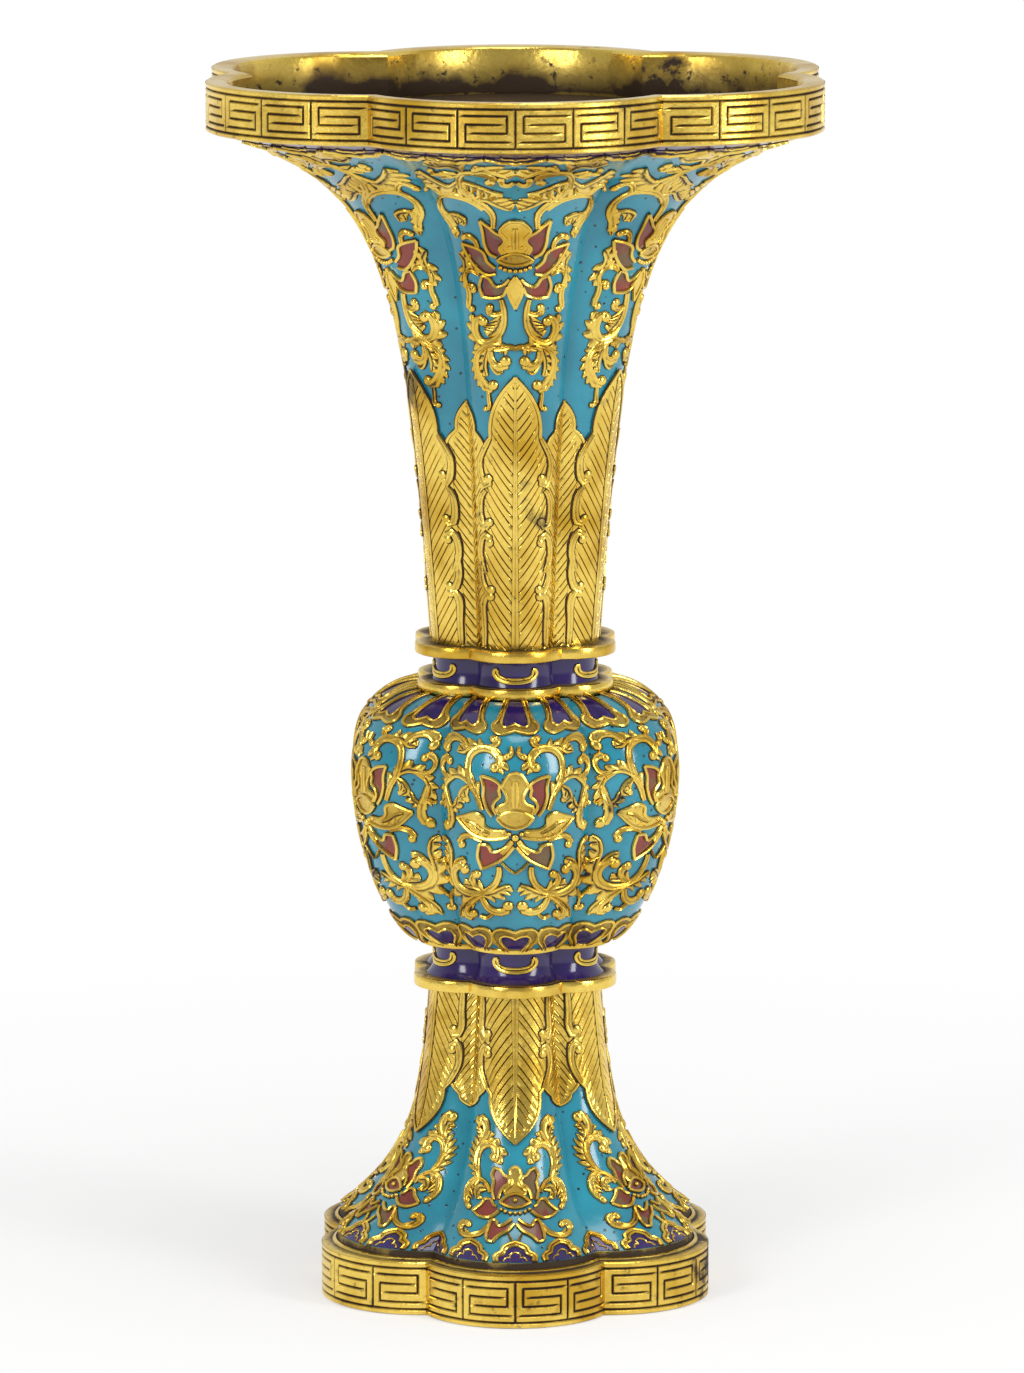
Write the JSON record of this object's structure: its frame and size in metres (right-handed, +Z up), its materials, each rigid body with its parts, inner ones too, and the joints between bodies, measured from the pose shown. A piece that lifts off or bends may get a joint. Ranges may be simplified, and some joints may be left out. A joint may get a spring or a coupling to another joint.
{
  "type": "six-lobed gilt bronze and enamel gu vase",
  "caption": "Free-standing altar vase with a lobed trumpet mouth, a swelling bulb and a flared foot, cast and gilded with let-in enamel; holds flowers.",
  "frame": {"origin": "middle of the resting face under the foot band", "axes": "+Z up along the vase's axis; one lobe's crest faces -Y, two grooves lie on the X axis"},
  "size_m": [0.1486, 0.159, 0.3],
  "materials": {
    "gilt_bronze": "fire-gilded, worn brown in the recesses",
    "turquoise_enamel": "polished opaque enamel",
    "purple_enamel": "polished opaque enamel",
    "bare_bronze": "dull brown cast bronze"
  },
  "bodies": {
    "root": {"mouth_band": "gilt_bronze", "neck_casting": "gilt_bronze", "neck_flange": "gilt_bronze", "upper_collar": "gilt_bronze", "shoulder_flange": "gilt_bronze", "bulb_casting": "gilt_bronze", "bulb_flange": "gilt_bronze", "lower_collar": "gilt_bronze", "foot_flange": "gilt_bronze", "foot_casting": "gilt_bronze", "foot_band": "gilt_bronze", "neck_scroll": "gilt_bronze", "bulb_scroll": "gilt_bronze", "foot_scroll": "gilt_bronze", "neck_enamel": "turquoise_enamel", "bulb_enamel": "turquoise_enamel", "foot_enamel": "turquoise_enamel", "upper_collar_enamel": "purple_enamel", "shoulder_border_enamel": "purple_enamel", "lower_border_enamel": "purple_enamel", "lower_collar_enamel": "purple_enamel", "hem_enamel": "purple_enamel", "floor_plug": "bare_bronze"}
  },
  "joints": []
}
